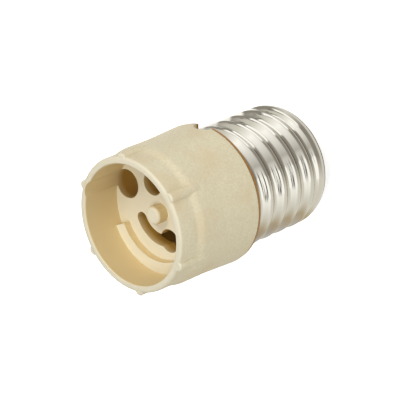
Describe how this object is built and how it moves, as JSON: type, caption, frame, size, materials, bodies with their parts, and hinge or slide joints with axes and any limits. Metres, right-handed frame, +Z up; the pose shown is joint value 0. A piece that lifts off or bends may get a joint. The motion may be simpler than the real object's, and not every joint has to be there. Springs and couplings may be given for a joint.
{
  "type": "lamp socket adapter",
  "caption": "Ceramic twist-lock lamp socket cup with keyhole slots and outer ribs, cemented to a large Edison screw shell with a centre contact.",
  "frame": {"origin": "centre of the centre contact's outer face, which the part stands on", "axes": "+Z up along the axis from the centre contact to the socket's mouth; +X towards the first pin hole"},
  "size_m": [0.0448, 0.0448, 0.076],
  "materials": {
    "steatite": "unglazed cream steatite, fine matt grain",
    "basing_cement": "matt brown basing cement",
    "nickel_shell": "bright nickel plate on rolled brass",
    "insulator_ceramic": "glazed off-white ceramic",
    "brass": "pressed brass",
    "contact_alloy": "nickel-plated copper alloy strip",
    "spring_steel": "rolled spring steel",
    "sleeve": "woven glass-fibre sleeving",
    "solder": "dull tin solder",
    "screw_steel": "zinc-plated steel"
  },
  "bodies": {
    "root": {"socket_body": "steatite", "rear_cover": "steatite", "cement_ring": "basing_cement", "screw_shell": "nickel_shell", "end_insulator": "insulator_ceramic", "centre_contact": "nickel_shell", "centre_eyelet": "brass", "centre_lug": "brass", "contact_clip_a": "contact_alloy", "contact_clip_b": "contact_alloy", "back_spring_a": "spring_steel", "back_spring_b": "spring_steel", "clip_rivet_a": "brass", "clip_rivet_b": "brass", "lead_terminal_a": "brass", "lead_terminal_b": "brass", "centre_lead": "sleeve", "shell_lead": "sleeve", "shell_solder": "solder", "cover_screw_a": "screw_steel", "cover_screw_b": "screw_steel", "cover_washer_a": "screw_steel", "cover_washer_b": "screw_steel", "cover_nut_a": "screw_steel", "cover_nut_b": "screw_steel"}
  },
  "joints": []
}
